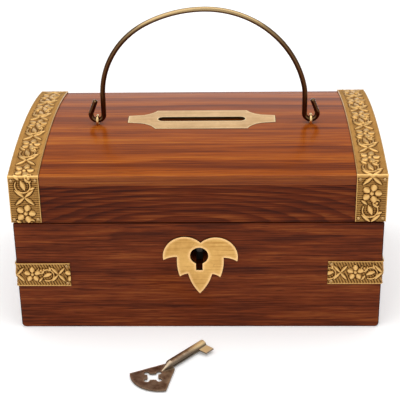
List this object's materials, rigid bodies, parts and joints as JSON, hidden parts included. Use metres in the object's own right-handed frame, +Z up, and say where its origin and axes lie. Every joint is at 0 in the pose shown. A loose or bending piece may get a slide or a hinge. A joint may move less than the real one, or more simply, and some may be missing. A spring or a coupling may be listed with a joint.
{
  "type": "donation box",
  "caption": "Small wooden chest with a domed, hinged lid that has a coin slot, a folding bail handle, brass straps and corners, and a key lock that keeps the money inside.",
  "frame": {"origin": "middle of the underside of the base", "axes": "+Z up, +X to the right of someone facing the front, +Y from the front to the back"},
  "size_m": [0.1542, 0.1454, 0.1274],
  "materials": {
    "rosewood": "varnished",
    "bottom_board": "plain",
    "satin_brass": "satin",
    "embossed_brass": "embossed, antiqued",
    "wire_brass": "dark polished",
    "hinge_brass": "plain",
    "key_brass": "tarnished",
    "lock_steel": "plain"
  },
  "bodies": {
    "base": {"base_front": "rosewood", "base_back": "rosewood", "base_left": "rosewood", "base_right": "rosewood", "base_bottom": "bottom_board", "bottom_nails": "lock_steel", "corner_front_left": "embossed_brass", "corner_front_right": "embossed_brass", "corner_back_left": "embossed_brass", "corner_back_right": "embossed_brass", "corner_front_left_pins": "embossed_brass", "corner_front_right_pins": "embossed_brass", "corner_back_left_pins": "embossed_brass", "corner_back_right_pins": "embossed_brass", "leaf_escutcheon": "satin_brass", "lock_plate": "lock_steel", "lock_case": "lock_steel", "lock_drill_pin": "lock_steel", "lock_bolt_guides": "lock_steel", "lock_bolt_spring": "lock_steel", "lock_screws": "lock_steel", "hinge_left_base_leaf": "hinge_brass", "hinge_right_base_leaf": "hinge_brass", "hinge_left_pin": "hinge_brass", "hinge_right_pin": "hinge_brass", "hinge_base_screws": "hinge_brass"},
    "bolt": {"lock_bolt": "lock_steel"},
    "lid": {"lid_top": "rosewood", "lid_front": "rosewood", "lid_back": "rosewood", "lid_left": "rosewood", "lid_right": "rosewood", "lid_strap_left": "embossed_brass", "lid_strap_right": "embossed_brass", "lid_strap_left_pins": "embossed_brass", "lid_strap_right_pins": "embossed_brass", "slot_plate": "satin_brass", "handle_eye_left": "wire_brass", "handle_eye_right": "wire_brass", "strike_plate": "lock_steel", "strike_screws": "lock_steel", "hinge_left_lid_leaf": "hinge_brass", "hinge_right_lid_leaf": "hinge_brass", "hinge_lid_screws": "hinge_brass"},
    "handle": {"bail_handle": "wire_brass"},
    "key": {"key": "key_brass"}
  },
  "joints": [
    {"name": "lid_hinge", "type": "hinge", "parent": "base", "child": "lid", "pos_m": [0, 0.0461, 0.04958], "axis": [-1, 0, 0], "range_deg": [0, 110]},
    {"name": "handle_swing", "type": "hinge", "parent": "lid", "child": "handle", "pos_m": [0, -0.0038, 0.07722], "axis": [1, 0, 0], "range_deg": [-91, 92]},
    {"name": "bolt_slide", "type": "slide", "parent": "base", "child": "bolt", "axis": [1, 0, 0], "range_m": [0, 0.005]},
    {"name": "key_lift", "type": "slide", "parent": "base", "child": "key", "axis": [0, 0, 1], "range_m": [0, 0.06]}
  ]
}
